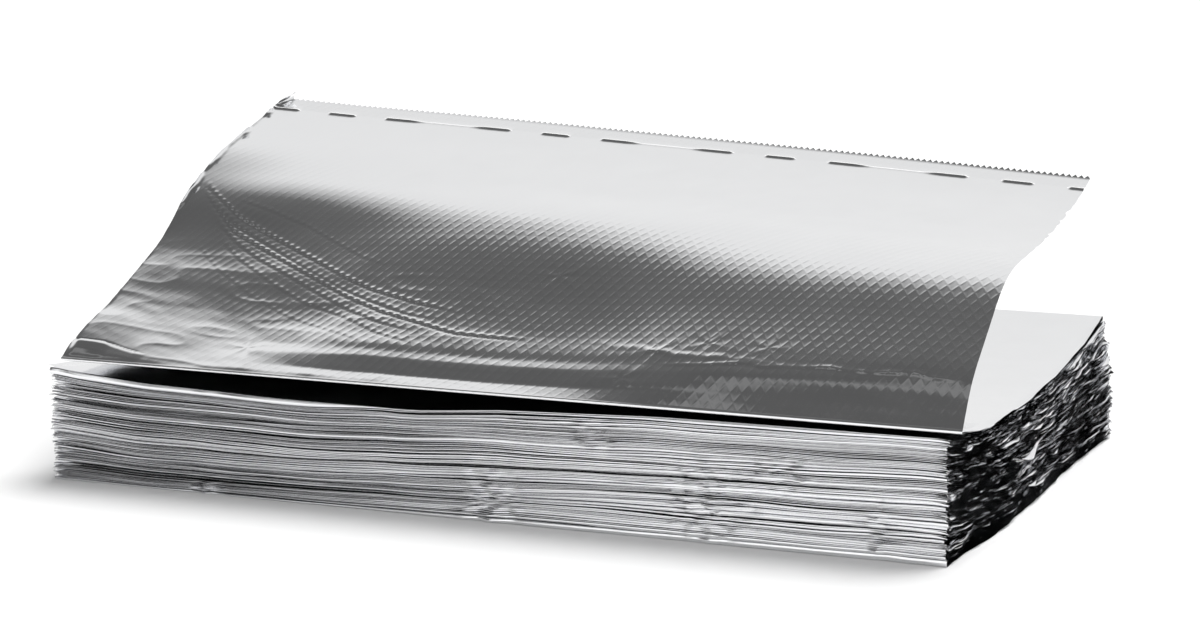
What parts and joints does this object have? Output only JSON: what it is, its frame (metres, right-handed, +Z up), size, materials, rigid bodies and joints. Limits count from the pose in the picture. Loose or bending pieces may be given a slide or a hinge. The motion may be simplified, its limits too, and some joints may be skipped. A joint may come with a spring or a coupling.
{
  "type": "pop-up hair foil stack",
  "caption": "Interfolded pop-up hair foil: a stack of V-folded embossed aluminium foil sheets, the top sheet's half raised as a curled flap with a serrated edge and a line of slits.",
  "frame": {"origin": "centre of the stack's underside", "axes": "+X along the folds to the right, +Y from the front face, where the top sheet's fold is, to the back, +Z up"},
  "size_m": [0.2366, 0.1379, 0.0792],
  "materials": {
    "stacked_foil": "satin",
    "embossed_foil": "polished"
  },
  "bodies": {
    "stack": {"foil_sheet_01": "stacked_foil", "foil_sheet_02": "stacked_foil", "foil_sheet_03": "stacked_foil", "foil_sheet_04": "stacked_foil", "foil_sheet_05": "stacked_foil", "foil_sheet_06": "stacked_foil", "foil_sheet_07": "stacked_foil", "foil_sheet_08": "stacked_foil", "foil_sheet_09": "stacked_foil", "foil_sheet_10": "stacked_foil", "foil_sheet_11": "stacked_foil", "foil_sheet_12": "stacked_foil", "foil_sheet_13": "stacked_foil", "foil_sheet_14": "stacked_foil", "foil_sheet_15": "stacked_foil", "foil_sheet_16": "stacked_foil", "foil_sheet_17": "stacked_foil", "foil_sheet_18": "stacked_foil", "foil_sheet_19": "stacked_foil", "foil_sheet_20": "stacked_foil", "foil_sheet_21": "stacked_foil", "foil_sheet_22": "stacked_foil", "foil_sheet_23": "stacked_foil", "foil_sheet_24": "stacked_foil", "foil_sheet_25": "stacked_foil", "foil_sheet_26": "stacked_foil", "foil_sheet_27": "stacked_foil", "foil_sheet_28": "stacked_foil", "foil_sheet_29": "stacked_foil", "foil_sheet_30": "stacked_foil", "foil_sheet_31": "stacked_foil", "foil_sheet_32": "stacked_foil", "foil_sheet_33": "stacked_foil", "foil_sheet_34": "stacked_foil", "second_sheet_base": "embossed_foil"},
    "top_sheet": {"top_sheet_base": "embossed_foil"},
    "top_flap": {"top_sheet_flap": "embossed_foil"},
    "second_flap": {"second_sheet_flap": "embossed_foil"}
  },
  "joints": [
    {"name": "top_sheet_pull", "type": "hinge", "parent": "stack", "child": "top_sheet", "pos_m": [0, -0.00425, 0.4854], "axis": [-1, 0, 0], "range_deg": [0, 20]},
    {"name": "top_flap_fold", "type": "hinge", "parent": "top_sheet", "child": "top_flap", "pos_m": [0, -0.06855, 0.031], "axis": [1, 0, 0], "range_deg": [-4, 120]},
    {"name": "second_flap_popup", "type": "hinge", "parent": "stack", "child": "second_flap", "pos_m": [0, 0.06734, 0.031], "axis": [-1, 0, 0], "range_deg": [0, 13]}
  ],
  "couplings": [
    {"joint": "second_flap_popup", "follows": "top_sheet_pull", "ratio": 0.65}
  ]
}
